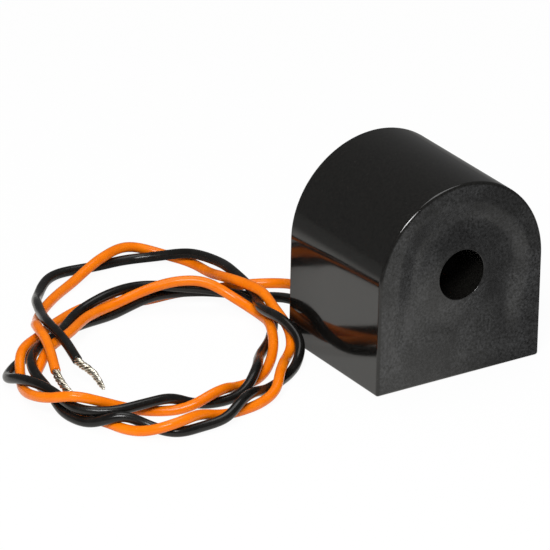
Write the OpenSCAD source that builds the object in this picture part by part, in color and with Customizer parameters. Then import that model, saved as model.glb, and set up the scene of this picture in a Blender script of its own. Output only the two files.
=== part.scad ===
// Wire-lead current sensor: an arch-topped moulded cup holds a wound ring core, sealed in resin,
// and the conductor that is measured passes through the bore.
// Millimetres. The base stands on z = 0, the bore runs along y and the front face looks to -y.

/* [Case] */
// Width across the two flat sides
case_w = 23.4; // [21:0.1:25.8]
// Depth along the bore
case_d = 19.2; // [18:0.1:26]
// Height to the top of the arch
case_h = 25; // [22.5:0.1:32]
// Thickness of the sides, the arch and the base
wall_t = 1.4; // [1:0.1:1.8]
// Thickness of the front face
face_t = 1.6; // [1:0.1:2.4]
// Rounding of the front face's edge
front_r = 0.4; // [0.2:0.05:0.8]
// Rounding of the open rear rim
rim_r = 0.2; // [0.1:0.05:0.4]
// Rounding of the edges round the base
base_r = 0.3; // [0.1:0.05:0.6]
// Rounding of the cup's inner corners
inner_r = 0.8; // [0.2:0.1:2]

/* [Bore] */
// Diameter of the hole for the conductor
bore_d = 6.35; // [5:0.05:7.5]
// Wall of the tube round the bore
tube_t = 1; // [0.6:0.1:1.4]

/* [Core and winding] */
// Resin between the coil and the cup's wall, tube and front face
resin_gap = 0.4; // [0.2:0.1:0.6]
// Depth from the rear rim to the coil
coil_depth = 3; // [2:0.1:5]
// Depth from the rear rim to the resin's surface
resin_drop = 0.5; // [0.2:0.1:1.2]
// Build of the winding inside the ring, as a share of the coil's radial width
wind_in_share = 0.21; // [0.12:0.01:0.26]
// Build of the winding outside the ring, as a share of the coil's radial width
wind_out_share = 0.15; // [0.08:0.01:0.2]
// Build of the winding on each end of the ring
wind_end_t = 0.9; // [0.5:0.1:1.4]
// Rounding of the winding's corners
wind_r = 0.6; // [0.2:0.1:0.8]
// Gap between the winding's start and finish, in degrees
wind_gap = 16; // [8:1:30]
// Wall of the core's insulating box, as a share of the coil's radial width
box_share = 0.115; // [0.08:0.005:0.15]
// Height of the lip inside the box's cover
lip_h = 0.5; // [0.3:0.1:1]
// Clearance of the core and the cover's lip in the box
core_clear = 0.1; // [0.05:0.05:0.2]
// Thickness of the tape band round the winding
tape_t = 0.1; // [0.05:0.05:0.2]
// Width of the tape band
tape_w = 5; // [3:0.5:6]

/* [Joints to the winding] */
// Length of a solder joint
joint_len = 3; // [2:0.1:4]
// Diameter of a solder joint
joint_d = 0.9; // [0.7:0.05:1]
// Wall of the sleeve shrunk over a joint
sleeve_t = 0.25; // [0.15:0.05:0.35]
// Length of the sleeve past each end of the joint
sleeve_lap = 1; // [0.5:0.1:1.5]
// Diameter of the winding's tails
tail_d = 0.3; // [0.2:0.05:0.4]
// Distance from a sleeve's end to the tail's elbow
elbow_gap = 0.4; // [0.3:0.1:0.8]
// Distance from the tails to the tape band
tape_gap = 0.5; // [0.3:0.1:1]

/* [Leads] */
// Outer diameter of a lead's insulation
lead_d = 1.25; // [1:0.05:1.3]
// Diameter over a lead's twisted strands
strand_d = 0.76; // [0.6:0.02:0.9]
// Distance from the cup's inner side to the outer lead
lead_side = 1.8; // [1.2:0.1:2.4]
// Height of the leads above the cup's inner base, as a share of the bore's height above it
lead_share = 0.135; // [0.12:0.005:0.15]
// Distance between the two leads where they leave the resin
lead_pitch = 2.5; // [2:0.1:3]
// Length of each lead that the resin holds
lead_embed = 5; // [3:0.1:6]
// Straight length of each lead outside the resin
lead_out = 3.9; // [2:0.1:5]
// Rise of a lead that lies on another one
lay_pitch = 1.3; // [1.3:0.05:1.5]
// Distance from the case's side to the middle of the coiled leads
coil_side = 17.3; // [17.3:0.1:30]
// Distance from the case's rear to the middle of the coiled leads
coil_back = 1.4; // [0.5:0.1:4]

/* [Hidden] */
$fn = 96;
over = 1;

// Case: front and rear planes, and the axis that the bore and the arch share
front_y = -case_d / 2;
rear_y = case_d / 2;
arch_r = case_w / 2;
axis_z = case_h - arch_r;
floor_y = front_y + face_t;
resin_y = rear_y - resin_drop;
tube_r = bore_d / 2 + tube_t;

// Coil, from the tube out and from the nearest wall in, and from the front face back
wind_in_r = tube_r + resin_gap;
wind_out_r = min(arch_r, axis_z) - wall_t - resin_gap - tape_t;
coil_w = wind_out_r - wind_in_r;
box_t = box_share * coil_w;
box_in_r = wind_in_r + wind_in_share * coil_w;
core_in_r = box_in_r + box_t + core_clear;
box_out_r = wind_out_r - wind_out_share * coil_w;
core_out_r = box_out_r - box_t - core_clear;
wind_y0 = floor_y + resin_gap;
wind_y1 = rear_y - coil_depth;
box_y0 = wind_y0 + wind_end_t;
box_y1 = wind_y1 - wind_end_t;
core_y0 = box_y0 + box_t;
cover_y = box_y1 - box_t;
core_y1 = cover_y - lip_h - core_clear;

// Leads and joints, from the resin's surface inwards
lead_z = wall_t + lead_share * (axis_z - wall_t);
black_x = -(arch_r - wall_t - lead_side);
orange_x = black_x + lead_pitch;
joint_y1 = resin_y - lead_embed;
joint_y0 = joint_y1 - joint_len;
sleeve_y0 = joint_y0 - sleeve_lap;
sleeve_y1 = joint_y1 + sleeve_lap;
tail_y = sleeve_y0 - elbow_gap;
tape_y1 = tail_y - tail_d / 2 - tape_gap;
tape_y0 = tape_y1 - tape_w;
elbow_r = 0.6 * tail_d;

// The winding's gap faces the leads, and a tail leaves the winding beside each of its ends
gap_angle = atan2(lead_z - axis_z, (black_x + orange_x) / 2);
tail_spread = wind_gap / 2 + 4;

// Middle of the coiled leads, and the fineness of the leads and their strands
coil_x = -arch_r - coil_side;
coil_y = rear_y + coil_back;
lead_sides = 8;
ring_gap = 4.5 * lead_d;
lobes = 7;
lobe_points = 3;
lobe_depth = 0.14;
lobe_turn = 60;
strand_rings = 10;

// The leads are a loosely twisted pair that lies in a coil of about two and a half turns.
// Each row has the pair's place from the coil's middle and its layer, and where the black lead is from there:
// to the left and up, in layers. The orange lead is opposite, so the pair rolls over as it goes.
pair_rows = [
    [16.5, 13.5, 0.1, 0.75, 0.1], [12, 15, 0.25, 0.65, 0.25], [7.5, 15, 0.4, 0.6, 0.35],
    [1.5, 16, 0, 1.9, 0], [-4.5, 14.5, 0.1, 1.1, -0.1], [-9.5, 11.5, 0.35, 0.5, -0.35],
    [-15.5, 7.5, 0.5, -0.3, -0.5], [-17.5, 5, 0.1, -0.85, 0], [-18.5, 1.5, 0.75, -0.2, 0.55],
    [-18.5, -2, 1.2, 0.7, 0.35], [-18, -5, 1.4, 0.85, -0.1], [-17, -8, 1.65, 0.1, -0.65],
    [-14, -10, 1.2, -0.75, -0.2], [-9.5, -11, 0.65, -0.5, 0.5], [-5.5, -12, 0.5, 0.4, 0.5],
    [-3.5, -12.5, 0.3, 0.8, -0.2], [-1.5, -13, 0.55, 0.3, -0.55], [2, -12.5, 0.4, -0.5, -0.4],
    [4, -11.5, 0.2, -0.8, 0.15], [6.5, -10.5, 0.55, -0.1, 0.55], [11, -6, 0.3, 0.75, 0],
    [15, -1, 0.55, 0, -0.55], [17.5, 4.5, 0.25, -0.8, -0.2], [16, 9, 1.05, -0.75, -0.2],
    [13.5, 11, 1.9, -0.4, -0.5], [10.5, 13, 2, -0.4, -0.45], [6.5, 14.5, 1.85, -0.7, 0],
    [2, 14.5, 1.5, -0.4, 0.45], [-2.5, 13.5, 1.2, -0.7, 0.1], [-7.5, 10, 1.1, -0.65, -0.1],
    [-12, 7.5, 1.15, -0.7, -0.05], [-14.5, 5, 1, -0.5, 0.4], [-16, 3, 0.75, -0.1, 0.55],
    [-16, -1.5, 0.35, -0.5, 0.35], [-16.5, -6.5, 0, -0.75, 0], [-15.5, -10, 0.05, -0.75, 0.05],
    [-14.5, -11.5, 0.35, -0.5, 0.35], [-13.5, -13, 0.6, 0.2, 0.6], [-11.5, -15, 0.2, 0.9, 0],
    [-9, -17.5, 0.55, 0.2, -0.55], [-4.5, -17, 0.4, -0.5, -0.4], [-2, -17, 0.2, -0.75, 0.1],
    [0.5, -16.5, 0.55, -0.15, 0.55], [4.5, -15, 0.4, 0.6, 0.35], [6.5, -14, 0.25, 0.75, -0.15],
    [8.5, -12.5, 0.5, 0.2, -0.5], [11, -10.5, 0.45, -0.4, -0.45], [13.5, -8, 0.25, -0.75, 0],
    [15, -6.5, 0.9, -0.55, 0.45], [15.5, -4.5, 1.6, 0.1, 0.55], [16.2, 2, 2.1, 0.7, -0.1],
    [17, 4.5, 2.1, 0.3, -0.5], [17.5, 7.5, 2, -0.45, -0.45], [17.5, 12.5, 1.9, -0.8, 0.1],
    [18.5, 17.5, 1, -0.55, 0.5], [18, 22.5, 0.55, 0.3, 0.55], [16, 25.5, 0.25, 0.75, 0.15],
    [13, 27.5, 0.45, 0.65, -0.45], [8, 27, 0.5, -0.3, -0.5], [2, 26, 0.1, -1.6, 0],
    [-2.5, 22.5, 0.1, -1, 0], [-6, 18.5, 0.65, -0.1, 0.6]
];

// Each lead's own way into the pair and out of it, then its stripped end, as places and layers
orange_in = [[24, 6.5, 1.3], [24, 10.5, 0.4], [21, 13, 0.1]];
orange_out = [[-8, 15.5, 0.5], [-10.7, 11, 2.2], [-12.2, 6, 2.3], [-14.2, 0.8, 1.4]];
orange_tip = [[-14.5, -1.2, 0.8], [-14.3, -5, 0.1]];
black_in = [[20.5, 5.5, 1.1], [19.5, 9.5, 0.1]];
black_out = [[-7.6, 15, 1.6], [-9.3, 10.5, 2.3], [-10, 6, 2.3], [-11, 1.1, 1.8]];
black_tip = [[-10.5, -1.5, 1.3], [-10.8, -4.7, 0.6]];

// Place in the part of a place and layer in the coil
function laid(p) = [coil_x + p.x, coil_y + p.y, lead_d / 2 + lay_pitch * p.z];

// Unit vector along v
function unit(v) = v / norm(v);

// Direction to the pair's left at row i, seen from above
function pair_left(i) =
    let (
        a = pair_rows[max(i - 1, 0)],
        b = pair_rows[min(i + 1, len(pair_rows) - 1)],
        t = unit([b.x - a.x, b.y - a.y])
    )
    [-t.y, t.x];

// Place of one lead at row i: side is 1 for the black lead and -1 for the orange one
function pair_place(i, side) =
    let (
        row = pair_rows[i],
        off = side * row[3] * pair_left(i)
    )
    laid([row.x + off.x, row.y + off.y, row.z + side * row[4]]);

// A lead's whole route, from its joint in the resin to the end of its insulation
function route(x, side, way_in, way_out) = concat(
    [[x, joint_y1, lead_z], [x, resin_y, lead_z], [x, resin_y + lead_out, lead_z]],
    [for (p = way_in) laid(p)],
    [for (i = [0:len(pair_rows) - 1]) pair_place(i, side)],
    [for (p = way_out) laid(p)]
);

// Slope of a smooth curve through the points p at point i
function slope(p, i) =
    i == 0 ? unit(p[1] - p[0]) :
    i == len(p) - 1 ? unit(p[i] - p[i - 1]) :
    let (a = p[i] - p[i - 1], b = p[i + 1] - p[i])
    (norm(b) * unit(a) + norm(a) * unit(b)) / (norm(a) + norm(b));

// Point of the curve a part u of the way from point i to the next, with given slopes at its two ends
function bend(p, i, u, m0, m1) =
    let (h = norm(p[i + 1] - p[i]))
    (2 * u ^ 3 - 3 * u ^ 2 + 1) * p[i] + (u ^ 3 - 2 * u ^ 2 + u) * h * m0
    + (3 * u ^ 2 - 2 * u ^ 3) * p[i + 1] + (u ^ 3 - u ^ 2) * h * m1;

// The same point, no lower than a lead that lies on the ground
function rest(q) = [q.x, q.y, max(q.z, lead_d / 2)];

// Middles of a lead's rings: the route's points, and one more half-way along each long stretch
function rings(p) = [
    for (i = [0:len(p) - 1])
        each i == len(p) - 1 || norm(p[i + 1] - p[i]) < ring_gap || i < 2 ? [p[i]]
            : [p[i], rest(bend(p, i, 0.5, slope(p, i), slope(p, i + 1)))]
];

// Heading of a chain of ring middles at ring i
function heading(c, i) = unit(c[min(i + 1, len(c) - 1)] - c[max(i - 1, 0)]);

// Points of one ring round c, square to the heading t, with the radii r
function ring(c, t, r) =
    let (across = unit(cross(t, [0, 0, 1])), up = cross(across, t), n = len(r))
    [for (k = [0:n - 1]) c + r[k] * (cos(360 * k / n) * across + sin(360 * k / n) * up)];

// Skin of a tube through rings of n points
module skin(sections, n) {
    last = (len(sections) - 1) * n;
    points = [for (s = sections) each s];
    walls = [
        for (i = [0:len(sections) - 2], k = [0:n - 1])
            [i * n + k, i * n + (k + 1) % n, (i + 1) * n + (k + 1) % n, (i + 1) * n + k]
    ];
    start = [for (k = [n - 1:-1:0]) k];
    end = [for (k = [0:n - 1]) last + k];
    polyhedron(points, concat(walls, [start, end]));
}

// Insulation of a lead along its route
module lead_tube(p) {
    c = rings(p);
    r = [for (k = [1:lead_sides]) lead_d / 2];
    skin([for (i = [0:len(c) - 1]) ring(c[i], heading(c, i), r)], lead_sides);
}

// Stripped end of a lead: twisted strands that start square on the insulation's end and taper a little
module strand_bundle(p, tip) {
    c = rings(p);
    t0 = heading(c, len(c) - 1);
    q = concat([p[len(p) - 1]], [for (s = tip) laid(s)]);
    m = [t0, slope(q, 1), slope(q, 2)];
    n = lobes * lobe_points;
    chain = [
        for (i = [0:1], k = [0:strand_rings - 1]) bend(q, i, k / strand_rings, m[i], m[i + 1]),
        q[2]
    ];
    count = len(chain) - 1;
    skin([
        for (i = [0:count])
            ring(chain[i], i == 0 ? t0 : heading(chain, i), [
                for (k = [0:n - 1])
                    strand_d / 2 * (1 - 0.3 * (i / count) ^ 2)
                    * (1 - lobe_depth * (1 - cos(lobes * (360 * k / n + i * lobe_turn / lobes))) / 2)
            ])
    ], n);
}

// Extrudes an outline that stands across the bore from y0 to y1
module along_bore(y0, y1) {
    translate([0, y1, 0]) rotate([90, 0, 0]) linear_extrude(y1 - y0) children();
}

// Turns a profile of radius and y round the bore's axis
module round_bore() {
    translate([0, 0, axis_z]) rotate([-90, 0, 0]) rotate_extrude() children();
}

// Rectangle of a ring's profile from r0 to r1 and y0 to y1
module ring_profile(r0, r1, y0, y1) {
    translate([r0, y0]) square([r1 - r0, y1 - y0]);
}

// Rod along y at the height of the leads
module lead_rod(x, y0, y1, d, facets = $fn) {
    translate([x, y0, lead_z]) rotate([-90, 0, 0]) cylinder(h = y1 - y0, d = d, $fn = facets);
}

// Arch-topped outline of the case, set in by inset, with its two lower corners rounded
module arch(inset, corner_r) {
    half = arch_r - inset;
    translate([0, axis_z]) circle(half);
    translate([-half, inset + corner_r]) square([2 * half, axis_z - inset - corner_r]);
    translate([corner_r - half, inset]) square([2 * (half - corner_r), axis_z - inset]);
    for (side = [-1, 1])
        translate([side * (half - corner_r), inset + corner_r]) circle(corner_r);
}

// Profile of the case from its axis out to its wall, with the front edge and the rear rim rounded
module wall_profile() {
    ring_profile(0, arch_r, front_y + front_r, rear_y - rim_r);
    ring_profile(0, arch_r - front_r, front_y, 0);
    ring_profile(0, arch_r - rim_r, 0, rear_y);
    translate([arch_r - front_r, front_y + front_r]) circle(front_r, $fn = 48);
    translate([arch_r - rim_r, rear_y - rim_r]) circle(rim_r, $fn = 48);
}

// Solid case: the arch turned round the axis, and the block below it
module case_block() {
    translate([0, 0, axis_z]) rotate([0, 180, 0]) rotate([-90, 0, 0])
        rotate_extrude(angle = 180) wall_profile();
    linear_extrude(axis_z) {
        wall_profile();
        mirror([1, 0]) wall_profile();
    }
}

// What the rounding takes off one edge of the base, length long, along x from the origin
module edge_cut(length) {
    rotate([90, 0, 90]) translate([0, 0, -length / 2]) linear_extrude(length)
        difference() {
            translate([-over, -over]) square(base_r + over);
            translate([base_r, base_r]) circle(base_r, $fn = 48);
        }
}

// Inside of the cup from its front face back to y1
module cup_space(y1) {
    along_bore(floor_y, y1) arch(wall_t, inner_r);
}

// Tube round the bore from the front face to the rim
module bore_tube(r) {
    translate([0, floor_y - face_t / 2, axis_z]) rotate([-90, 0, 0])
        cylinder(h = rear_y - floor_y + face_t / 2, r = r);
}

// Cup with the bore's tube through it
module case() {
    color("#1b1b1d")
        difference() {
            case_block();
            difference() {
                cup_space(rear_y + over);
                bore_tube(tube_r);
            }
            translate([0, front_y - over, axis_z]) rotate([-90, 0, 0])
                cylinder(h = case_d + 2 * over, d = bore_d);
            translate([0, front_y, 0]) edge_cut(case_w + 2 * over);
            translate([0, rear_y, 0]) rotate([0, 0, 180]) edge_cut(case_w + 2 * over);
            translate([-arch_r, 0, 0]) rotate([0, 0, -90]) edge_cut(case_d + 2 * over);
            translate([arch_r, 0, 0]) rotate([0, 0, 90]) edge_cut(case_d + 2 * over);
        }
}

// Place where a tail leaves the winding, side 1 or -1 from the gap, as x and z
function tail_start(side) =
    let (a = gap_angle + side * tail_spread, r = wind_out_r - tail_d)
    [r * cos(a), axis_z + r * sin(a)];

// Tail of the winding: out to the lead's line, round an elbow and back to the joint
module tail(x, side) {
    from = tail_start(side);
    dx = x - from.x;
    dz = lead_z - from.y;
    translate([from.x, tail_y, from.y]) rotate([0, atan2(dx, dz), 0])
        cylinder(h = norm([dx, dz]), d = tail_d, $fn = 32);
    translate([x, tail_y, lead_z]) sphere(elbow_r, $fn = 32);
    lead_rod(x, tail_y, joint_y0, tail_d, 32);
}

// Outline of the wound coil's profile, with rounded corners
module coil_outline() {
    ring_profile(wind_in_r + wind_r, wind_out_r - wind_r, wind_y0, wind_y1);
    ring_profile(wind_in_r, wind_out_r, wind_y0 + wind_r, wind_y1 - wind_r);
    for (r = [wind_in_r + wind_r, wind_out_r - wind_r], y = [wind_y0 + wind_r, wind_y1 - wind_r])
        translate([r, y]) circle(wind_r, $fn = 48);
}

// Profile of the core's closed box
module box_outline() {
    ring_profile(box_in_r, box_out_r, box_y0, box_y1);
}

// Turns a profile round the bore's axis, except across the winding's gap
module gapped_ring() {
    difference() {
        round_bore() children();
        along_bore(wind_y0 - over, wind_y1 + over) translate([0, axis_z])
            polygon([
                [0, 0],
                for (a = [gap_angle - wind_gap / 2, gap_angle + wind_gap / 2]) case_w * [cos(a), sin(a)]
            ]);
    }
}

// The winding's two tails
module tails() {
    tail(black_x, -1);
    tail(orange_x, 1);
}

// Winding, open at its gap, with its two tails
module secondary_winding() {
    color("#a8501e") {
        gapped_ring()
            difference() {
                coil_outline();
                box_outline();
            }
        tails();
    }
}

// Band of tape round the winding
module winding_tape() {
    color("#d9c35a") round_bore() ring_profile(wind_out_r, wind_out_r + tape_t, tape_y0, tape_y1);
}

// Insulating channel for the core
module core_box() {
    color("#2f5d8a")
        round_bore()
            difference() {
                ring_profile(box_in_r, box_out_r, box_y0, cover_y);
                ring_profile(box_in_r + box_t, box_out_r - box_t, core_y0, cover_y + over);
            }
}

// Ring lid of the channel, with a lip that goes into it
module core_box_cover() {
    color("#3c6fa3")
        round_bore() {
            ring_profile(box_in_r, box_out_r, cover_y, box_y1);
            ring_profile(core_in_r, core_out_r, cover_y - lip_h, cover_y);
        }
}

// Tape-wound ring core
module core() {
    color("#8d9096") round_bore() ring_profile(core_in_r, core_out_r, core_y0, core_y1);
}

// Solder joint between a tail and a lead
module joint(x) {
    color("#b9bbc0") lead_rod(x, joint_y0, joint_y1, joint_d);
}

// Outside of the sleeve over a joint
module sleeve_space(x) {
    lead_rod(x, sleeve_y0, sleeve_y1, lead_d + 2 * sleeve_t);
}

// Sleeve shrunk onto the lead, the joint and the tail
module sleeve(x) {
    color("#26262a")
        difference() {
            sleeve_space(x);
            lead_rod(x, joint_y1, sleeve_y1 + over, lead_d, lead_sides);
            lead_rod(x, joint_y0, joint_y1, joint_d);
            lead_rod(x, sleeve_y0 - over, joint_y0, tail_d, 32);
        }
}

module orange_joint() { joint(orange_x); }

module black_joint() { joint(black_x); }

module orange_sleeve() { sleeve(orange_x); }

module black_sleeve() { sleeve(black_x); }

// Resin that fills the cup round the coil, the joints and the ends of the leads
module potting_compound() {
    color("#141416")
        difference() {
            cup_space(resin_y);
            bore_tube(tube_r);
            round_bore() box_outline();
            gapped_ring() coil_outline();
            tails();
            winding_tape();
            for (x = [orange_x, black_x]) {
                sleeve_space(x);
                lead_rod(x, joint_y1, resin_y + over, lead_d, lead_sides);
            }
        }
}

orange_route = route(orange_x, -1, orange_in, orange_out);
black_route = route(black_x, 1, black_in, black_out);

module orange_lead() { color("#ff7a00") lead_tube(orange_route); }

module black_lead() { color("#1a1a1a") lead_tube(black_route); }

module orange_strands() { color("#b8b4aa") strand_bundle(orange_route, orange_tip); }

module black_strands() { color("#b8b4aa") strand_bundle(black_route, black_tip); }

case();
potting_compound();
core();
core_box();
core_box_cover();
secondary_winding();
winding_tape();
orange_joint();
black_joint();
orange_sleeve();
black_sleeve();
orange_lead();
black_lead();
orange_strands();
black_strands();
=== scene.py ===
"""Looks of a wire-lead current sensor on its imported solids: case, resin, twisted pair of leads, bare ends.

Sizes are in millimetres until a mesh is made; MM turns them into metres.
"""

import math

import bpy
import numpy as np
from mathutils import Matrix


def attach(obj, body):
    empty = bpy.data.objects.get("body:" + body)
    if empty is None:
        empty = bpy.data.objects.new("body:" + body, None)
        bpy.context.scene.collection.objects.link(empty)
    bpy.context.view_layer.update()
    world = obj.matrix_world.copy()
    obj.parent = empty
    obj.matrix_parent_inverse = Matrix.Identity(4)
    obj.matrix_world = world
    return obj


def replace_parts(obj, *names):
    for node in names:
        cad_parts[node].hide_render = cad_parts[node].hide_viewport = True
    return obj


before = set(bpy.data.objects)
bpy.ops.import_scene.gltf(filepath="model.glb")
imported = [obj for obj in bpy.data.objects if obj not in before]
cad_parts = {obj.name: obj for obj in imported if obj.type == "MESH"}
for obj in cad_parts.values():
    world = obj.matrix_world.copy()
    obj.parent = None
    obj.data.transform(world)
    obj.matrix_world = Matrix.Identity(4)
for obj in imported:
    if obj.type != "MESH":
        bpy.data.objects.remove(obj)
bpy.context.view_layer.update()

MM = 0.001

# Case, as in the part's source: the sizes that drive it, then what follows from them
CASE_W = 23.4
CASE_D = 19.2
CASE_H = 25
WALL_T = 1.4
FACE_T = 1.6
BORE_D = 6.35
TUBE_T = 1
RESIN_DROP = 0.5
FRONT_R = 0.4
RIM_R = 0.2
BASE_R = 0.3
INNER_R = 0.8
ARCH_R = CASE_W / 2
AXIS_Z = CASE_H - ARCH_R
FRONT_Y = -CASE_D / 2
REAR_Y = CASE_D / 2
FLOOR_Y = FRONT_Y + FACE_T
BORE_R = BORE_D / 2
TUBE_R = BORE_R + TUBE_T
RESIN_Y = REAR_Y - RESIN_DROP

# Rounding of the edges that the solids leave sharp
CRISP_R = 0.08

# Sink of the front face: its depth, and the distances from the sides, the base and the bore over which it
# grows
SINK_DEPTH = 0.58
SINK_FROM_SIDE = (1.9, 4.7)
SINK_FROM_BASE = (0.8, 9.0)
SINK_FROM_BORE = (-0.3, 3.6)

# Leads, as in the part's source: the sizes that drive them, then what follows from them
LEAD_D = 1.25
STRAND_D = 0.76
LEAD_SIDE = 1.8
LEAD_PITCH = 2.5
LEAD_RISE = 0.135
LEAD_EMBED = 5
LEAD_OUT = 3.9
LAY_PITCH = 1.3
COIL_SIDE = 17.3
COIL_BACK = 1.4
BLACK_X = -(ARCH_R - WALL_T - LEAD_SIDE)
ORANGE_X = BLACK_X + LEAD_PITCH
LEAD_Z = WALL_T + LEAD_RISE * (AXIS_Z - WALL_T)
JOINT_Y = RESIN_Y - LEAD_EMBED
COIL_X = -ARCH_R - COIL_SIDE
COIL_Y = REAR_Y + COIL_BACK

# Distance between the points of a lead's line, and how far along it each point is eased
LINE_STEP = 0.3
EASE_REACH = 1.1

# The pair's way through its coil: its place from the coil's middle, its layer, and where the black lead is
# from there, to the left and up. The orange lead is opposite.
PAIR_ROWS = np.array([
    [16.5, 13.5, 0.1, 0.75, 0.1], [12, 15, 0.25, 0.65, 0.25], [7.5, 15, 0.4, 0.6, 0.35], [1.5, 16, 0, 1.9, 0],
    [-4.5, 14.5, 0.1, 1.1, -0.1], [-9.5, 11.5, 0.35, 0.5, -0.35], [-15.5, 7.5, 0.5, -0.3, -0.5],
    [-17.5, 5, 0.1, -0.85, 0], [-18.5, 1.5, 0.75, -0.2, 0.55], [-18.5, -2, 1.2, 0.7, 0.35],
    [-18, -5, 1.4, 0.85, -0.1], [-17, -8, 1.65, 0.1, -0.65], [-14, -10, 1.2, -0.75, -0.2],
    [-9.5, -11, 0.65, -0.5, 0.5], [-5.5, -12, 0.5, 0.4, 0.5], [-3.5, -12.5, 0.3, 0.8, -0.2],
    [-1.5, -13, 0.55, 0.3, -0.55], [2, -12.5, 0.4, -0.5, -0.4], [4, -11.5, 0.2, -0.8, 0.15],
    [6.5, -10.5, 0.55, -0.1, 0.55], [11, -6, 0.3, 0.75, 0], [15, -1, 0.55, 0, -0.55],
    [17.5, 4.5, 0.25, -0.8, -0.2], [16, 9, 1.05, -0.75, -0.2], [13.5, 11, 1.9, -0.4, -0.5],
    [10.5, 13, 2, -0.4, -0.45], [6.5, 14.5, 1.85, -0.7, 0], [2, 14.5, 1.5, -0.4, 0.45],
    [-2.5, 13.5, 1.2, -0.7, 0.1], [-7.5, 10, 1.1, -0.65, -0.1], [-12, 7.5, 1.15, -0.7, -0.05],
    [-14.5, 5, 1, -0.5, 0.4], [-16, 3, 0.75, -0.1, 0.55], [-16, -1.5, 0.35, -0.5, 0.35],
    [-16.5, -6.5, 0, -0.75, 0], [-15.5, -10, 0.05, -0.75, 0.05], [-14.5, -11.5, 0.35, -0.5, 0.35],
    [-13.5, -13, 0.6, 0.2, 0.6], [-11.5, -15, 0.2, 0.9, 0], [-9, -17.5, 0.55, 0.2, -0.55],
    [-4.5, -17, 0.4, -0.5, -0.4], [-2, -17, 0.2, -0.75, 0.1], [0.5, -16.5, 0.55, -0.15, 0.55],
    [4.5, -15, 0.4, 0.6, 0.35], [6.5, -14, 0.25, 0.75, -0.15], [8.5, -12.5, 0.5, 0.2, -0.5],
    [11, -10.5, 0.45, -0.4, -0.45], [13.5, -8, 0.25, -0.75, 0], [15, -6.5, 0.9, -0.55, 0.45],
    [15.5, -4.5, 1.6, 0.1, 0.55], [16.2, 2, 2.1, 0.7, -0.1], [17, 4.5, 2.1, 0.3, -0.5],
    [17.5, 7.5, 2, -0.45, -0.45], [17.5, 12.5, 1.9, -0.8, 0.1], [18.5, 17.5, 1, -0.55, 0.5],
    [18, 22.5, 0.55, 0.3, 0.55], [16, 25.5, 0.25, 0.75, 0.15], [13, 27.5, 0.45, 0.65, -0.45],
    [8, 27, 0.5, -0.3, -0.5], [2, 26, 0.1, -1.6, 0], [-2.5, 22.5, 0.1, -1, 0], [-6, 18.5, 0.65, -0.1, 0.6],
])

# Each lead's own way into the pair, out of it and along its bare end: place and layer
ORANGE_IN = np.array([[24, 6.5, 1.3], [24, 10.5, 0.4], [21, 13, 0.1]])
ORANGE_OUT = np.array([[-8, 15.5, 0.5], [-10.7, 11, 2.2], [-12.2, 6, 2.3], [-14.2, 0.8, 1.4]])
ORANGE_TIP = np.array([[-14.5, -1.2, 0.8], [-14.3, -5, 0.1]])
BLACK_IN = np.array([[20.5, 5.5, 1.1], [19.5, 9.5, 0.1]])
BLACK_OUT = np.array([[-7.6, 15, 1.6], [-9.3, 10.5, 2.3], [-10, 6, 2.3], [-11, 1.1, 1.8]])
BLACK_TIP = np.array([[-10.5, -1.5, 1.3], [-10.8, -4.7, 0.6]])


# Arrays and objects

def unit(v):
    """Vectors along the last axis, each divided by its length."""
    return v / np.linalg.norm(v, axis=-1, keepdims=True)


def smooth_step(low, high, x):
    """0 up to low, 1 from high on, and the cubic 3u^2 - 2u^3 between them."""
    u = np.clip((x - low) / (high - low), 0, 1)
    return u * u * (3 - 2 * u)


def place_object(name, data, axes, place):
    """New object in the scene, with its three axes and its place in millimetres."""
    made = bpy.data.objects.new(name, data)
    bpy.context.scene.collection.objects.link(made)
    columns = np.column_stack([*axes, place * MM])
    made.matrix_world = Matrix(np.vstack([columns, [0, 0, 0, 1]]).tolist())
    return made


def mesh_piece(name, points, quads, attributes=None, caps=()):
    """Object from an array of points in millimetres and an array of quads, with smooth faces, named values on
    its points, and caps given as rows of point numbers."""
    mesh = bpy.data.meshes.new(name)
    mesh.from_pydata((points * MM).tolist(), [], quads.tolist() + [list(map(int, c)) for c in caps])
    mesh.polygons.foreach_set("use_smooth", np.ones(len(mesh.polygons), bool))
    for key, values in (attributes or {}).items():
        kind = "FLOAT" if values.ndim == 1 else "FLOAT_VECTOR"
        made = mesh.attributes.new(key, kind, "POINT")
        made.data.foreach_set("value" if kind == "FLOAT" else "vector", values.astype(np.float32).ravel())
    mesh.update()
    piece = bpy.data.objects.new(name, mesh)
    bpy.context.scene.collection.objects.link(piece)
    return piece


def grid_quads(rows, columns, close_rows=False, close_columns=True):
    """Quads of a grid of points in rows and columns; a closed direction joins its last line to its first."""
    r = np.arange(rows if close_rows else rows - 1)
    c = np.arange(columns if close_columns else columns - 1)
    r, c = np.meshgrid(r, c, indexing="ij")
    r, c = r.ravel(), c.ravel()
    r1, c1 = (r + 1) % rows, (c + 1) % columns
    return np.column_stack([r * columns + c, r * columns + c1, r1 * columns + c1, r1 * columns + c])


def tube_faces(rows, sides):
    """Quads of a tube of rings along a line, facing outward, and the point numbers of its two caps."""
    first = np.arange(sides)
    return grid_quads(rows, sides)[:, ::-1], [first, first[::-1] + (rows - 1) * sides]


def ring_angles(sides):
    """Angles of a ring's points, equally far apart."""
    return np.arange(sides) * 2 * np.pi / sides


def ring_spokes(angles, across, up):
    """Spokes of a ring at each point of a line: the cosine of the angle across and its sine up."""
    return np.cos(angles)[:, None] * across[..., None, :] + np.sin(angles)[:, None] * up[..., None, :]


# Camera

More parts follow.
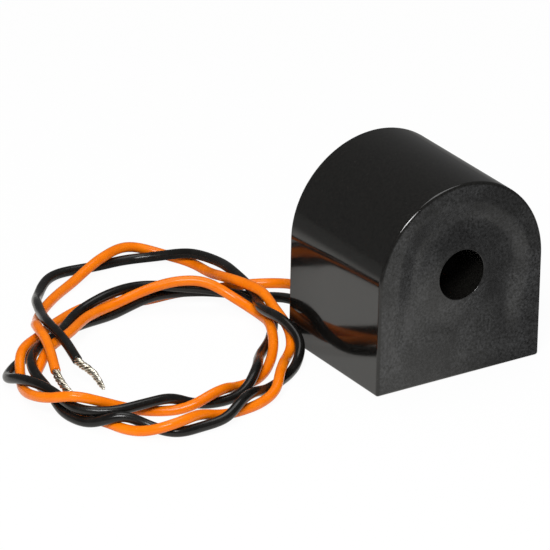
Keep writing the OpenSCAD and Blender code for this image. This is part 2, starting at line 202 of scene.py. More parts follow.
def place_camera():
    """Camera of the photograph: turned by yaw, tilted by pitch and rolled about its line of sight. Its focal
    length is in pixels of the photo, and shift is where it sees the point aim: right, down and ahead."""
    yaw, pitch, roll = 0.585556, 0.428129, -0.019854
    focal_px, picture_px, sensor_w = 6000, 550, 36
    nearest, farthest = 50, 20000
    aim = np.array([0, -0.6, 12.0])
    shift = np.array([17.199, -2.054, 717.935])
    sight = np.array([
        math.sin(yaw) * math.cos(pitch),
        math.cos(yaw) * math.cos(pitch),
        -math.sin(pitch),
    ])
    right = np.array([math.cos(yaw), -math.sin(yaw), 0])
    down = np.cross(sight, right)
    c, s = math.cos(roll), math.sin(roll)
    turn = np.array([c * right + s * down, -s * right + c * down, sight])
    data = bpy.data.cameras.new("photo_camera")
    data.sensor_width = sensor_w
    data.lens = sensor_w * focal_px / picture_px
    data.clip_start, data.clip_end = nearest * MM, farthest * MM
    axes = (turn[0], -turn[1], -turn[2])
    bpy.context.scene.camera = place_object("photo_camera", data, axes, aim - turn.T @ shift)


# Leads

def laid(p):
    """Places in the part, in millimetres, of rows of place and layer in the coil."""
    return np.column_stack([COIL_X + p[:, 0], COIL_Y + p[:, 1], LEAD_D / 2 + LAY_PITCH * p[:, 2]])


def pair_places(side):
    """One lead's places along the pair: from the pair's line, to the left and up for the black lead, whose
    side is 1, and as far the other way for the orange one, whose side is -1."""
    place, layer, out, up = np.split(PAIR_ROWS, [2, 3, 4], axis=1)
    ends = np.vstack([place[:1], place, place[-1:]])
    ahead = unit(ends[2:] - ends[:-2])
    left = np.column_stack([-ahead[:, 1], ahead[:, 0]])
    return laid(np.hstack([place + side * out * left, layer + side * up]))


def lead_route(x, side, way_in, way_out):
    """A lead's points from its joint in the resin to the end of its insulation."""
    start = [[x, JOINT_Y, LEAD_Z], [x, RESIN_Y, LEAD_Z], [x, RESIN_Y + LEAD_OUT, LEAD_Z]]
    return np.vstack([start, laid(way_in), pair_places(side), laid(way_out)])


def smooth_line(p, per_span=24, first=None):
    """Cubic through the points p. The slope at a point is that of the parabola through it and its neighbours:
    their two directions, each weighted by the length of the other chord. first is the slope at the start."""
    chord = np.diff(p, axis=0)
    h = np.linalg.norm(chord, axis=1)[:, None]
    d = chord / h
    inner = (h[1:] * d[:-1] + h[:-1] * d[1:]) / (h[1:] + h[:-1])
    m = np.vstack([d[:1] if first is None else first[None], inner, d[-1:]])
    u = (np.arange(per_span) / per_span)[None, :, None]
    a, b, h = p[:-1, None], p[1:, None], h[:, None]
    line = (2 * u**3 - 3 * u**2 + 1) * a + (u**3 - 2 * u**2 + u) * h * m[:-1, None] \
        + (3 * u**2 - 2 * u**3) * b + (u**3 - u**2) * h * m[1:, None]
    return np.vstack([line.reshape(-1, 3), p[-1:]])


def even_line(line, step):
    """The line's points again, at equal distances of about step along it, and how far each is along it."""
    s = np.concatenate([[0], np.cumsum(np.linalg.norm(np.diff(line, axis=0), axis=1))])
    at = np.linspace(0, s[-1], max(int(round(s[-1] / step)), 2) + 1)
    return np.column_stack([np.interp(at, s, line[:, k]) for k in range(3)]), at


def eased_line(line, s, reach):
    """The line as soft wire takes it: each point is a mean of those within three reaches of it, weighted by
    the bell curve exp(-d^2 / 2 reach^2) of the distance d along the line. Beyond its ends the line goes on
    as its own half turn."""
    step = s[1]
    n = int(3 * reach / step)
    weight = np.exp(-0.5 * (np.arange(-n, n + 1) * step / reach) ** 2)
    longer = np.vstack([2 * line[0] - line[n:0:-1], line, 2 * line[-1] - line[-2:-n - 2:-1]])
    return np.column_stack([np.convolve(longer[:, k], weight / weight.sum(), "valid") for k in range(3)])


def line_frame(line):
    """Heading, level side and upper side of a line at each of its points."""
    heading = unit(np.gradient(line, axis=0))
    across = unit(np.cross(heading, [0, 0, 1]))
    return heading, across, np.cross(across, heading)


def lead_line(x, side, way_in, way_out):
    """Middle line of a lead, eased, and no lower than that of a lead on the ground."""
    line = smooth_line(lead_route(x, side, way_in, way_out))
    line[:, 2] = np.maximum(line[:, 2], LEAD_D / 2)
    line = eased_line(*even_line(line, LINE_STEP), EASE_REACH)
    line[:, 2] = np.maximum(line[:, 2], LEAD_D / 2)
    return even_line(line, LINE_STEP)


def lead_piece(name, line, s, seed):
    """Insulation: a circle carried along the line. Its radius wavers by about a hundredth, as the product of
    two sines of the distance along it, and at its end it draws in by a quarter circle to a rounded cut. The
    value lay holds each point's place across and along the lead, for its finish."""
    sides, waver = 28, 0.006
    cut = np.array([0.12, 0.09, 0.06, 0.03, 0.01, 0.0])
    cut_share, cut_swell, cut_room = 0.8, 0.19, 0.2
    heading, across, up = line_frame(line)
    body = s[-1] - s > cut_room
    line = np.vstack([line[body], line[-1] - cut[:, None] * heading[-1]])
    across = np.vstack([across[body], np.repeat(across[-1:], len(cut), 0)])
    up = np.vstack([up[body], np.repeat(up[-1:], len(cut), 0)])
    s = np.concatenate([s[body], s[-1] - cut])
    r = LEAD_D / 2 * (1 - waver * (1 + np.sin(1.7 * s + seed) * np.sin(0.53 * s + 2 * seed)))
    draw = np.sqrt(np.clip(1 - ((cut[0] - cut) / cut[0]) ** 2, 0, 1))
    r[-len(cut):] = LEAD_D / 2 * (cut_share + cut_swell * draw)
    a = ring_angles(sides)
    points = line[:, None] + r[:, None, None] * ring_spokes(a, across, up)
    lay = np.stack([
        np.broadcast_to(np.cos(a) * LEAD_D / 2, points.shape[:2]),
        np.broadcast_to(np.sin(a) * LEAD_D / 2, points.shape[:2]),
        np.broadcast_to(s[:, None], points.shape[:2]),
    ], axis=-1)
    quads, caps = tube_faces(len(line), sides)
    return mesh_piece(name, points.reshape(-1, 3), quads, {"lay": lay.reshape(-1, 3) * MM}, caps)


def strand_piece(name, line, tip, heading, twist, splay, cut, seed):
    """Bare end: one strand along the middle and the others wound round it, each a circle carried along a
    helix of wavering width. With u from 0 at the insulation to 1 at the tip, the width falls with u and
    its cube, and splay spreads it again with the fifth power. Each strand ends at a u of its own, at most
    cut."""
    count, rows, sides = 10, 104, 10
    core_step, strands_across, draw_in = 0.06, 3.3, 0.55
    shorter, ragged = 0.03, 0.1
    core, s = even_line(smooth_line(np.vstack([line[-1:], laid(tip)]), first=heading), core_step)
    _, across, up = line_frame(core)
    k = np.arange(count)[:, None]
    reach = cut - shorter - ragged * (1 + np.sin(2.6 * k + 1.3 * seed))
    reach[0], reach[1] = cut - ragged, cut
    t = np.linspace(0, 1, rows)[None]
    u = reach * t
    core, across, up = (
        np.stack([np.interp(u, s / s[-1], v[:, j]) for j in range(3)], axis=-1) for v in (core, across, up))
    r = STRAND_D / (2 * strands_across)
    loose = 1.62 - 0.1 * u - 1.1 * u**3 + 0.14 * np.sin(9 * u + 2.1 * k + seed)
    ring = np.where(k == 0, 0.0, 2 * r * (loose + splay * u**5 * (1 + np.sin(3.1 * k + seed))))
    phase = 2 * np.pi * (k / (count - 1) + twist * u) + 0.3 * np.sin(5 * u + 2.3 * k)
    places = core + ring[..., None] * (np.cos(phase)[..., None] * across + np.sin(phase)[..., None] * up)
    along = unit(np.gradient(places, axis=1))
    side = unit(np.cross(along, up))
    girth = r * (1 - draw_in * smooth_step(0.97, 1.0, t))
    spokes = ring_spokes(ring_angles(sides), side, np.cross(side, along))
    points = places[:, :, None] + girth[..., None, None] * spokes
    quads, caps = tube_faces(rows, sides)
    start = np.arange(count) * rows * sides
    quads = (quads[None] + start[:, None, None]).reshape(-1, 4)
    caps = [cap + at for cap in caps for at in start]
    return mesh_piece(name, points.reshape(-1, 3), quads, caps=caps)


# Case and resin

def arch_outline(inset, corner):
    """Closed arch outline, set in by inset: half a circle about the bore, two straight sides, and a base with
    rounded corners. It has the same count of points at any inset, so that outlines join point to point."""
    arc_n, side_n, corner_n, base_n = 160, 28, 8, 60
    half = ARCH_R - inset
    a = np.linspace(0, np.pi, arc_n, endpoint=False)
    top = np.column_stack([half * np.cos(a), AXIS_Z + half * np.sin(a)])
    u = np.linspace(0, 1, side_n, endpoint=False)
    drop = AXIS_Z + u * (inset + corner - AXIS_Z)
    left = np.column_stack([np.full_like(u, -half), drop])
    b = np.pi + np.linspace(0, np.pi / 2, corner_n, endpoint=False)
    turn = corner * np.column_stack([np.cos(b), np.sin(b)])
    left_turn = turn + [corner - half, inset + corner]
    v = np.linspace(-1, 1, base_n, endpoint=False)
    base = np.column_stack([v * (half - corner), np.full_like(v, inset)])
    turned = corner * np.column_stack([-np.sin(b), np.cos(b)])
    right_turn = turned + [half - corner, inset + corner]
    right = np.column_stack([np.full_like(u, half), inset + corner + u * (AXIS_Z - inset - corner)])
    return np.vstack([top, left, left_turn, base, right_turn, right])


def bore_circle(radius):
    """Circle about the bore, with a point in the direction of each point of the case's outline."""
    out = arch_outline(0, BASE_R) - [0, AXIS_Z]
    return radius * unit(out) + [0, AXIS_Z]


def upright(outline, y):
    """Outline across the bore, set at y, which is one value or one for each point."""
    return np.column_stack([outline[:, 0], np.broadcast_to(y, len(outline)), outline[:, 1]])


def front_sink(points):
    """Depth of the front face's moulding sink: a shallow trough that a short smooth step leads into from the
    flat border along the sides and the arch, a long one from the base, and that rises to the bore's edge. The
    border wanders by a slow wave, and a slow wave in both directions makes the trough uneven."""
    x, z = points[:, 0], points[:, 1]
    from_axis = np.hypot(x, z - AXIS_Z)
    from_side = ARCH_R - np.where(z > AXIS_Z, from_axis, np.abs(x))
    wander = 0.5 * np.sin(0.45 * z + 0.2 * x)
    border = smooth_step(*SINK_FROM_SIDE, from_side + wander) * smooth_step(*SINK_FROM_BASE, z)
    uneven = 1 + 0.16 * np.sin(0.42 * x - 0.3 * z + 1.1) * np.sin(0.36 * z + 0.7)
    return SINK_DEPTH * border * uneven * smooth_step(*SINK_FROM_BORE, from_axis - BORE_R)


def case_piece():
    """Cup with the bore's tube, as one closed profile carried round the arch: through the bore to the front,
    over the front face, along the outer wall, over the rear rim, down the inside, and back along the tube.
    Each rounding is a quarter circle, with a ring close to it that keeps the flat beside it flat. The value
    grain is 1 on the front face, for its finish."""
    at_bore, at_inside, at_rim, at_outside = 0.02, 0.03, 0.04, 0.05
    half_matte, matte_edge = 0.5, 2.2
    quarter = np.linspace(0, np.pi / 2, 9)
    over_face = np.concatenate([[0.006], np.linspace(0.02, 0.98, 64), [0.996]])
    over_floor = (0.01, 0.5, 0.99)
    rings, grain = [], []

    def add(outline, y, rough=0.0):
        """Next ring of the profile, and how matte it is."""
        rings.append(upright(outline, y))
        grain.append(np.full(len(outline), rough))

    for y in np.linspace(REAR_Y - CRISP_R, FRONT_Y + CRISP_R + at_bore, 12):
        add(bore_circle(BORE_R), y)
    for q in quarter[::2]:
        outline = bore_circle(BORE_R + CRISP_R * (1 - np.cos(q)))
        add(outline, FRONT_Y + CRISP_R * (1 - np.sin(q)), rough=half_matte)
    inner, outer = bore_circle(BORE_R + CRISP_R), arch_outline(FRONT_R, BASE_R)
    for w in over_face:
        at = (1 - w) * inner + w * outer
        add(at, FRONT_Y + front_sink(at), rough=1.0)
    for q in quarter:
        outline = arch_outline(FRONT_R * (1 - np.sin(q)), BASE_R)
        matte = float(np.clip(1 - matte_edge * q, 0, 1))
        add(outline, FRONT_Y + FRONT_R * (1 - np.cos(q)), rough=matte)
    outer_wall = np.linspace(FRONT_Y + 1.2, REAR_Y - 1.0, 12)
    for y in [FRONT_Y + FRONT_R + at_outside, *outer_wall, REAR_Y - RIM_R - at_outside]:
        add(arch_outline(0, BASE_R), y)
    for q in quarter:
        add(arch_outline(RIM_R * (1 - np.cos(q)), BASE_R), REAR_Y - RIM_R * (1 - np.sin(q)))
    add(arch_outline(RIM_R + at_rim, BASE_R), REAR_Y)
    add(arch_outline(WALL_T - CRISP_R - at_rim, INNER_R), REAR_Y)
    for q in quarter[::2]:
        add(arch_outline(WALL_T - CRISP_R * (1 - np.sin(q)), INNER_R), REAR_Y - CRISP_R * (1 - np.cos(q)))
    wall, tube = arch_outline(WALL_T, INNER_R), bore_circle(TUBE_R)
    for y in np.linspace(REAR_Y - CRISP_R - at_inside, FLOOR_Y + at_bore, 6):
        add(wall, y)
    for w in over_floor:
        add((1 - w) * wall + w * tube, FLOOR_Y)
    for y in np.linspace(FLOOR_Y + at_bore, REAR_Y - CRISP_R - at_inside, 6):
        add(tube, y)
    for q in quarter[::2]:
        add(bore_circle(TUBE_R - CRISP_R * (1 - np.cos(q))), REAR_Y - CRISP_R * (1 - np.sin(q)))
    for q in quarter[:-1:2]:
        add(bore_circle(BORE_R + CRISP_R * (1 - np.sin(q))), REAR_Y - CRISP_R * (1 - np.cos(q)))
    quads = grid_quads(len(rings), len(rings[0]), close_rows=True)[:, ::-1]
    return mesh_piece("moulded_case", np.concatenate(rings), quads, {"grain": np.concatenate(grain)})


def resin_piece():
    """Skin of the resin in the open rear: between the tube and the cup's wall it lies level with a faint
    swell, and it climbs the wall, the tube and the leads as a falling exponential of the distance from
    them."""
    clearance, skin_t, highest = 0.01, 0.3, 0.4
    wall_climb, wall_reach = 0.16, 0.5
    tube_climb, tube_reach = 0.12, 0.45
    lead_climb, lead_reach = 0.2, 0.35
    wall, tube = arch_outline(WALL_T + clearance, INNER_R), bore_circle(TUBE_R + clearance)
    by_tube, by_wall = [0, 0.01, 0.025, 0.05, 0.08], [0.92, 0.95, 0.975, 0.99, 1]
    w = np.concatenate([by_tube, np.linspace(0.12, 0.88, 44), by_wall])[:, None]
    at = (1 - w)[..., None] * tube[None] + w[..., None] * wall[None]
    gap = np.linalg.norm(wall - tube, axis=1)[None]
    climb = wall_climb * np.exp(-gap * (1 - w) / wall_reach) + tube_climb * np.exp(-gap * w / tube_reach)
    for x in (ORANGE_X, BLACK_X):
        off = np.hypot(at[..., 0] - x, at[..., 1] - LEAD_Z) - LEAD_D / 2
        climb = climb + lead_climb * np.exp(-np.clip(off, 0, None) / lead_reach)
    swell = 0.03 * np.sin(0.55 * at[..., 0] + 0.8) * np.sin(0.47 * at[..., 1])
    top = np.stack([at[..., 0], RESIN_Y + np.minimum(climb + swell, highest), at[..., 1]], axis=-1)
    under = top[::-1] * [1, 0, 1] + [0, RESIN_Y - skin_t, 0]
    points = np.concatenate([top, under])
    quads = grid_quads(len(points), points.shape[1], close_rows=True)
    return mesh_piece("resin_surface", points.reshape(-1, 3), quads)


# Nodes and shared effects

def add_node(tree, kind, links=None, **settings):
    """Node with its settings; those named like an input set that input. links joins inputs to sockets."""
    made = tree.nodes.new(kind)
    for key, value in settings.items():
        if hasattr(made, key):
            setattr(made, key, value)
        else:
            made.inputs[key.replace("_", " ")].default_value = value
    for key, source in (links or {}).items():
        tree.links.new(source, made.inputs[key])
    return made


def span(tree, value, low, high):
    """Value from 0 to 1 carried to low to high."""
    made = add_node(tree, "ShaderNodeMapRange", {"Value": value}, To_Min=low, To_Max=high)
    return made.outputs["Result"]


def spread(tree, value, low, high):
    """Value from low to high carried to 0 to 1."""
    made = add_node(tree, "ShaderNodeMapRange", {"Value": value}, From_Min=low, From_Max=high)
    return made.outputs["Result"]


def fade(tree, distance, near, far, least):
    """1 up to near, least from far on, both in millimetres, and a smooth step between them."""
    made = add_node(
        tree, "ShaderNodeMapRange", {"Value": distance}, interpolation_type="SMOOTHSTEP",
        From_Min=near * MM, From_Max=far * MM, To_Min=1.0, To_Max=least)
    return made.outputs["Result"]


def scaled(tree, value, factor):
    """Value multiplied by a factor."""
    made = add_node(tree, "ShaderNodeMath", {0: value}, operation="MULTIPLY")
    made.inputs[1].default_value = factor
    return made.outputs["Value"]


def mix_value(tree, factor, low, high):
    """Value between the sockets low and high by a factor socket."""
    return add_node(tree, "ShaderNodeMix", {"Factor": factor, 2: low, 3: high}, data_type="FLOAT").outputs[0]


def mix_colour(tree, factor, low, high):
    """Colour between low and high, each a colour or a socket, by a factor socket."""
    made = add_node(tree, "ShaderNodeMix", {"Factor": factor}, data_type="RGBA")
    for socket, value in ((made.inputs[6], low), (made.inputs[7], high)):
        if isinstance(value, bpy.types.NodeSocket):
            tree.links.new(value, socket)
        else:
            socket.default_value = (*value, 1)
    return made.outputs[2]


def mix_shader(tree, factor, low, high):
    """Shader between those of the nodes low and high by a factor socket."""
    return add_node(tree, "ShaderNodeMixShader", {0: factor, 1: low.outputs[0], 2: high.outputs[0]})


def bump(tree, shader, height, strength, distance):
    """Bump of a height, with its distance in millimetres, joined to the shader's normal."""
    made = add_node(tree, "ShaderNodeBump", {"Height": height}, Strength=strength, Distance=distance * MM)
    tree.links.new(made.outputs["Normal"], shader.inputs["Normal"])


def object_vector(tree):
    """Object coordinates of the piece."""
    return tree.nodes.new("ShaderNodeTexCoord").outputs["Object"]


def new_group(name, inputs, outputs):
    """Empty shader node group with inputs, given as name, kind and value, and named values to put out."""
    tree = bpy.data.node_groups.new(name, "ShaderNodeTree")
    for label, kind, value in inputs:
        made = tree.interface.new_socket(label, in_out="INPUT", socket_type=kind)
        if value is not None:
            made.default_value = value
    for label in outputs:
        tree.interface.new_socket(label, in_out="OUTPUT", socket_type="NodeSocketFloat")
    return tree, tree.nodes.new("NodeGroupInput").outputs, tree.nodes.new("NodeGroupOutput").inputs


def fine_grain_group():
    """Fine grain: noise of a given size, as a height, and with its middle values spread out, as a mask."""
    inputs = [("Vector", "NodeSocketVector", None), ("Scale", "NodeSocketFloat", 1000.0)]
    tree, get, put = new_group("fine_grain", inputs, ["Height", "Mask"])
    links = {"Vector": get["Vector"], "Scale": get["Scale"]}
    noise = add_node(tree, "ShaderNodeTexNoise", links, Detail=3.0, Roughness=0.6).outputs["Fac"]
    tree.links.new(noise, put["Height"])
    tree.links.new(spread(tree, noise, 0.3, 0.7), put["Mask"])
    return tree


def handling_group():
    """Traces of handling: broad faint smudges, and sparse specks of dust where a fine noise is highest."""
    finer = 14
    inputs = [("Vector", "NodeSocketVector", None), ("Size", "NodeSocketFloat", 150.0)]
    tree, get, put = new_group("handling", inputs, ["Smudge", "Dust"])
    links = {"Vector": get["Vector"], "Scale": get["Size"]}
    broad = add_node(tree, "ShaderNodeTexNoise", links, Detail=4.0, Roughness=0.55, Distortion=0.6)
    links = {"Vector": get["Vector"], "Scale": scaled(tree, get["Size"], finer)}
    fine = add_node(tree, "ShaderNodeTexNoise", links, Detail=1.0)
    tree.links.new(spread(tree, broad.outputs["Fac"], 0.38, 0.72), put["Smudge"])
    tree.links.new(spread(tree, fine.outputs["Fac"], 0.73, 0.8), put["Dust"])
    return tree


FINE_GRAIN = fine_grain_group()
HANDLING = handling_group()


def use_group(tree, group, vector, **values):
    """Outputs of a shared group placed in a material, with its own values."""
    made = tree.nodes.new("ShaderNodeGroup")
    made.node_tree = group
    tree.links.new(vector, made.inputs["Vector"])
    for key, value in values.items():
        made.inputs[key].default_value = value
    return made.outputs


# Finishes

def new_material(name, **settings):
    """Material with its Principled shader, the shader's constant values set on its own sockets."""
    material = bpy.data.materials.new(name)
    material.use_nodes = True
    tree = material.node_tree
    shader = tree.nodes["Principled BSDF"]
    for key, value in settings.items():
        shader.inputs[key.replace("_", " ")].default_value = value
    return material, tree, shader


def colour_and_rough(tree, shader, colour, rough):
    """Joins a colour and a roughness to the shader."""
    tree.links.new(colour, shader.inputs["Base Color"])
    tree.links.new(rough, shader.inputs["Roughness"])


def case_finish():
    """Black moulding: mirror gloss on the walls with faint smudges and a slow waviness, and on the front face
    the fine matte grain of an eroded mould."""
    material, tree, shader = new_material("black_moulding", Specular_IOR_Level=0.5)
    place = object_vector(tree)
    mask = add_node(tree, "ShaderNodeAttribute", attribute_name="grain").outputs["Fac"]
    grain = use_group(tree, FINE_GRAIN, place, Scale=3300.0)
    traces = use_group(tree, HANDLING, place, Size=170.0)
    clean = mix_colour(tree, grain["Mask"], (0.0035, 0.0033, 0.003), (0.0095, 0.009, 0.008))
    gloss = mix_colour(tree, traces["Dust"], clean, (0.022, 0.021, 0.019))
    pale = mix_colour(tree, traces["Smudge"], (0.02, 0.0203, 0.0208), (0.058, 0.0588, 0.06))
    matte = mix_colour(tree, grain["Mask"], (0.001, 0.001, 0.001), pale)
    wall_rough = span(tree, traces["Smudge"], 0.07, 0.13)
    face_rough = span(tree, grain["Mask"], 0.31, 0.21)
    rough = mix_value(tree, mask, wall_rough, face_rough)
    colour_and_rough(tree, shader, mix_colour(tree, mask, gloss, matte), rough)
    slow = add_node(tree, "ShaderNodeTexNoise", {"Vector": place}, Scale=90.0, Detail=1.0)
    eroded = span(tree, grain["Height"], 0.0, 1.2)
    height = mix_value(tree, mask, slow.outputs["Fac"], eroded)
    bump(tree, shader, height, strength=0.35, distance=0.04)
    return material


def resin_finish():
    """Black casting resin: glossy, with a slow swell, smudges and dust."""
    material, tree, shader = new_material("casting_resin", Specular_IOR_Level=0.5)
    place = object_vector(tree)
    traces = use_group(tree, HANDLING, place, Size=260.0)
    colour = mix_colour(tree, traces["Dust"], (0.008, 0.008, 0.009), (0.05, 0.05, 0.05))
    colour_and_rough(tree, shader, colour, span(tree, traces["Smudge"], 0.1, 0.28))
    swell = add_node(tree, "ShaderNodeTexNoise", {"Vector": place}, Scale=240.0, Detail=2.0)
    bump(tree, shader, swell.outputs["Fac"], strength=0.4, distance=0.15)
    return material


def insulation_finish(name, low, high, dust, rough, shine):
    """Soft insulation: faint mottling, fine drawn lines along the lead, and scuffs that dull it in places."""
    duller, drawn_out = 0.14, 0.06
    material, tree, shader = new_material(name, Specular_IOR_Level=shine)
    lay = add_node(tree, "ShaderNodeAttribute", attribute_name="lay").outputs["Vector"]
    drawn = add_node(tree, "ShaderNodeMapping", {"Vector": lay}, Scale=(1, 1, drawn_out))
    lines = use_group(tree, FINE_GRAIN, drawn.outputs["Vector"], Scale=3200.0)
    mottle = use_group(tree, HANDLING, lay, Size=420.0)
    colour = mix_colour(tree, mottle["Dust"], mix_colour(tree, mottle["Smudge"], low, high), dust)
    colour_and_rough(tree, shader, colour, span(tree, mottle["Smudge"], rough, rough + duller))
    bump(tree, shader, lines["Height"], strength=0.25, distance=0.03)
    return material


def strand_finish():
    """Tinned strands: dull warm grey metal, darker where it is tarnished."""
    material, tree, shader = new_material("tinned_strands", Metallic=1.0)
    place = object_vector(tree)
    grain = use_group(tree, FINE_GRAIN, place, Scale=5200.0)
    traces = use_group(tree, HANDLING, place, Size=900.0)
    clean = mix_colour(tree, grain["Mask"], (0.6, 0.57, 0.49), (0.86, 0.83, 0.75))
    colour = mix_colour(tree, traces["Smudge"], clean, (0.36, 0.3, 0.19))
    colour_and_rough(tree, shader, colour, span(tree, grain["Mask"], 0.25, 0.45))
    bump(tree, shader, grain["Height"], strength=0.3, distance=0.03)
    return material


def inner_finish(name, low, high, rough, scale, metallic=0.0):
    """Finish of a sealed piece: its colour and roughness vary with a grain of its own size."""
    duller = 0.15
    material, tree, shader = new_material(name, Metallic=metallic)
    grain = use_group(tree, FINE_GRAIN, object_vector(tree), Scale=scale)
    colour = mix_colour(tree, grain["Mask"], low, high)
    colour_and_rough(tree, shader, colour, span(tree, grain["Mask"], rough, rough + duller))
    bump(tree, shader, grain["Height"], strength=0.2, distance=0.04)
    return material


def wound_finish(name, low, high, rough, turns, round_axis):
    """Finish of wound pieces: fine bands, one for each turn, as a sine of the angle about the bore's axis for
    turns that lie side by side round it, or of the distance from it for turns that lie one over the other."""
    duller = 0.1
    material, tree, shader = new_material(name, Metallic=1.0)
    to_axis = (0, 0, -AXIS_Z * MM)
    place = add_node(tree, "ShaderNodeMapping", {"Vector": object_vector(tree)}, Location=to_axis)
    parts = add_node(tree, "ShaderNodeSeparateXYZ", {"Vector": place.outputs["Vector"]}).outputs
    if round_axis:
        measure = add_node(tree, "ShaderNodeMath", {0: parts["Z"], 1: parts["X"]}, operation="ARCTAN2")
    else:
        flat = add_node(tree, "ShaderNodeCombineXYZ", {"X": parts["X"], "Z": parts["Z"]})
        measure = add_node(tree, "ShaderNodeVectorMath", {0: flat.outputs["Vector"]}, operation="LENGTH")
    times = scaled(tree, measure.outputs["Value"], turns)
    wave = add_node(tree, "ShaderNodeMath", {0: times}, operation="SINE")
    band = spread(tree, wave.outputs["Value"], -1.0, 1.0)
    colour = mix_colour(tree, band, low, high)
    colour_and_rough(tree, shader, colour, span(tree, band, rough + duller, rough))
    bump(tree, shader, band, strength=0.5, distance=0.06)
    return material


# Stage

def floor_finish():
    """White paper, which the camera sees as plain white with faint shadows. In mirror images it shows a
    painted pool of light:
    a glow as bright as white paper in front of the object and to its left, which fades to dim behind it as
    painted falloff of the lamps' light, and to its right as the case's painted shadow."""
    seen_white, painted_pool_share = 0.95, 0.85
    painted_pool_middle = (-18 * MM, -2 * MM, 0)
    to_right = (1, 0.6, 0)
    material = bpy.data.materials.new("white_floor")
    material.use_nodes = True
    tree = material.node_tree
    tree.nodes.clear()
    place = object_vector(tree)
    away = add_node(tree, "ShaderNodeVectorMath", {0: place}, operation="DISTANCE")
    away.inputs[1].default_value = painted_pool_middle
    right = add_node(tree, "ShaderNodeVectorMath", {0: place}, operation="DOT_PRODUCT")
    right.inputs[1].default_value = to_right
    # Painted pool of light for mirror images: painted falloff with the distance from its middle, and painted
    # shadow of the case to its right
    behind = fade(tree, away.outputs["Value"], 38, 74, 0.16)
    beside = fade(tree, right.outputs["Value"], -12, 5, 0.1)
    painted_light_pool = add_node(tree, "ShaderNodeMath", {0: behind, 1: beside}, operation="MINIMUM").outputs["Value"]
    paper = add_node(tree, "ShaderNodeBsdfDiffuse", Color=(0.9, 0.9, 0.9, 1))
    white = add_node(tree, "ShaderNodeEmission", Color=(1, 1, 1, 1), Strength=1.0)
    pale = add_node(tree, "ShaderNodeEmission", {"Strength": painted_light_pool}, Color=(1, 0.985, 0.94, 1))
    path = tree.nodes.new("ShaderNodeLightPath").outputs
    seen = mix_shader(tree, scaled(tree, path["Is Camera Ray"], seen_white), paper, white)
    # Mirror images see mostly the painted pool of light, and the rest is the paper with its real shadows
    both = mix_shader(tree, scaled(tree, path["Is Glossy Ray"], painted_pool_share), seen, pale)
    add_node(tree, "ShaderNodeOutputMaterial", {"Surface": both.outputs[0]})
    return material


def floor_piece():
    """Level floor, a square of a metre with its middle under the object and its leads."""
    half, lines, below = 500, 9, -0.02
    middle_x, middle_y = -18, 8
    g = np.linspace(-half, half, lines)
    x, y = np.meshgrid(g, g, indexing="ij")
    points = np.column_stack([x.ravel() + middle_x, y.ravel() + middle_y, np.full(x.size, below)])
    quads = grid_quads(lines, lines, close_columns=False)[:, ::-1]
    floor = mesh_piece("floor", points, quads)
    floor.data.materials.append(floor_finish())


def soft_box(name, place, wide, high, power):
    """Soft lamp at a place, turned towards the object, with its wide side level."""
    aim = np.array([-12.0, 4.0, 8.0])
    data = bpy.data.lights.new(name, "AREA")
    data.shape, data.energy = "RECTANGLE", power
    data.size, data.size_y = wide * MM, high * MM
    place = np.array(place, float)
    back = unit(place - aim)
    side = unit(np.cross([0, 0, 1], back))
    place_object(name, data, (side, np.cross(back, side), back), place)


def studio():
    """Two soft boxes in a dim room that the camera sees as white: the key high to the left of the camera,
    and a larger, softer one overhead."""
    soft_box("key_box", place=(-265, -260, 390), wide=240, high=130, power=2.4)
    soft_box("top_box", place=(40, 60, 480), wide=300, high=300, power=0.8)
    world = bpy.data.worlds.new("room")
    bpy.context.scene.world = world
    world.use_nodes = True
    tree = world.node_tree
    tree.nodes.clear()
    path = tree.nodes.new("ShaderNodeLightPath").outputs
    room = add_node(tree, "ShaderNodeBackground", Color=(1, 1, 1, 1), Strength=0.16)
    white = add_node(tree, "ShaderNodeBackground", Color=(1, 1, 1, 1), Strength=1.0)
    both = mix_shader(tree, path["Is Camera Ray"], room, white)
    add_node(tree, "ShaderNodeOutputWorld", {"Surface": both.outputs[0]})


# The sensor

def dress(piece, material):
    """Gives a new piece its finish and the body it rides on."""
    piece.data.materials.append(material)
    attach(piece, "root")
    return piece


def paint(node, material):
    """Gives a solid of the frame its finish."""
    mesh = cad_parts[node].data
    mesh.materials.clear()
    mesh.materials.append(material)


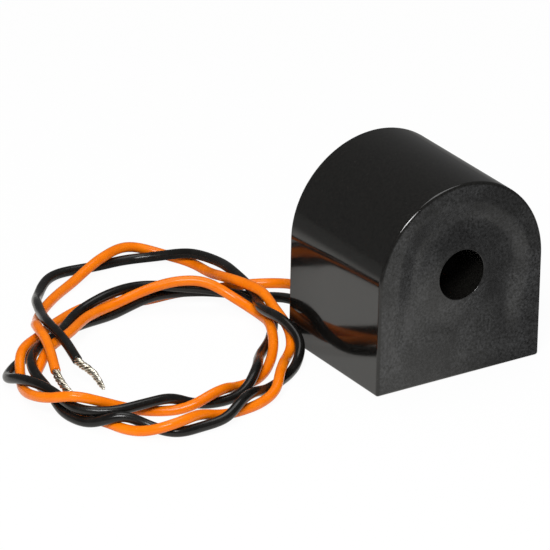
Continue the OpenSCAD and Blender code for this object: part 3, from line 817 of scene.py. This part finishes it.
def build_leads():
    """Both leads with their bare ends."""
    strands = strand_finish()
    orange = insulation_finish(
        "orange_insulation", low=(0.86, 0.178, 0.001), high=(0.95, 0.222, 0.002), dust=(0.95, 0.36, 0.1),
        rough=0.2, shine=0.26)
    black = insulation_finish(
        "black_insulation", low=(0.005, 0.0046, 0.0041), high=(0.0105, 0.0098, 0.0088),
        dust=(0.06, 0.056, 0.05), rough=0.2, shine=0.34)
    leads = (
        ("orange", ORANGE_X, -1, ORANGE_IN, ORANGE_OUT, ORANGE_TIP, orange, 1.7, 0.1, 0.84, 1.0),
        ("black", BLACK_X, 1, BLACK_IN, BLACK_OUT, BLACK_TIP, black, 2.1, 0.05, 1.0, 2.7),
    )
    for colour, x, side, way_in, way_out, tip, finish, twist, splay, cut, seed in leads:
        line, s = lead_line(x, side, way_in, way_out)
        lead = dress(lead_piece(colour + "_insulation", line, s, seed), finish)
        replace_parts(lead, colour + "_lead")
        heading = unit(line[-1] - line[-3])
        bare = strand_piece(colour + "_bare_end", line, tip, heading, twist, splay, cut, seed)
        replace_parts(dress(bare, strands), colour + "_strands")


def build_case():
    """Case and the resin's surface, and finishes for the solids that they seal in."""
    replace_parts(dress(case_piece(), case_finish()), "case")
    resin = resin_finish()
    dress(resin_piece(), resin)
    paint("potting_compound", resin)
    strip = wound_finish(
        "core_strip", (0.2, 0.2, 0.21), (0.5, 0.5, 0.52), rough=0.3, turns=90000, round_axis=False)
    paint("core", strip)
    wire = wound_finish(
        "enamelled_wire", (0.3, 0.09, 0.03), (0.72, 0.3, 0.11), rough=0.25, turns=220, round_axis=True)
    paint("secondary_winding", wire)
    box = inner_finish("box_moulding", (0.57, 0.53, 0.45), (0.66, 0.62, 0.54), rough=0.4, scale=1500.0)
    paint("core_box", box)
    paint("core_box_cover", box)
    tape = inner_finish("tape_film", (0.62, 0.46, 0.1), (0.72, 0.55, 0.15), rough=0.25, scale=600.0)
    paint("winding_tape", tape)
    solder = inner_finish(
        "solder", (0.52, 0.52, 0.54), (0.7, 0.7, 0.72), rough=0.22, scale=2400.0, metallic=1.0)
    sleeve = inner_finish(
        "shrunk_sleeve", (0.012, 0.012, 0.013), (0.024, 0.024, 0.026), rough=0.4, scale=1800.0)
    for colour in ("orange", "black"):
        paint(colour + "_joint", solder)
        paint(colour + "_sleeve", sleeve)


bpy.context.scene.view_settings.view_transform = "Standard"
place_camera()
build_leads()
build_case()
floor_piece()
studio()
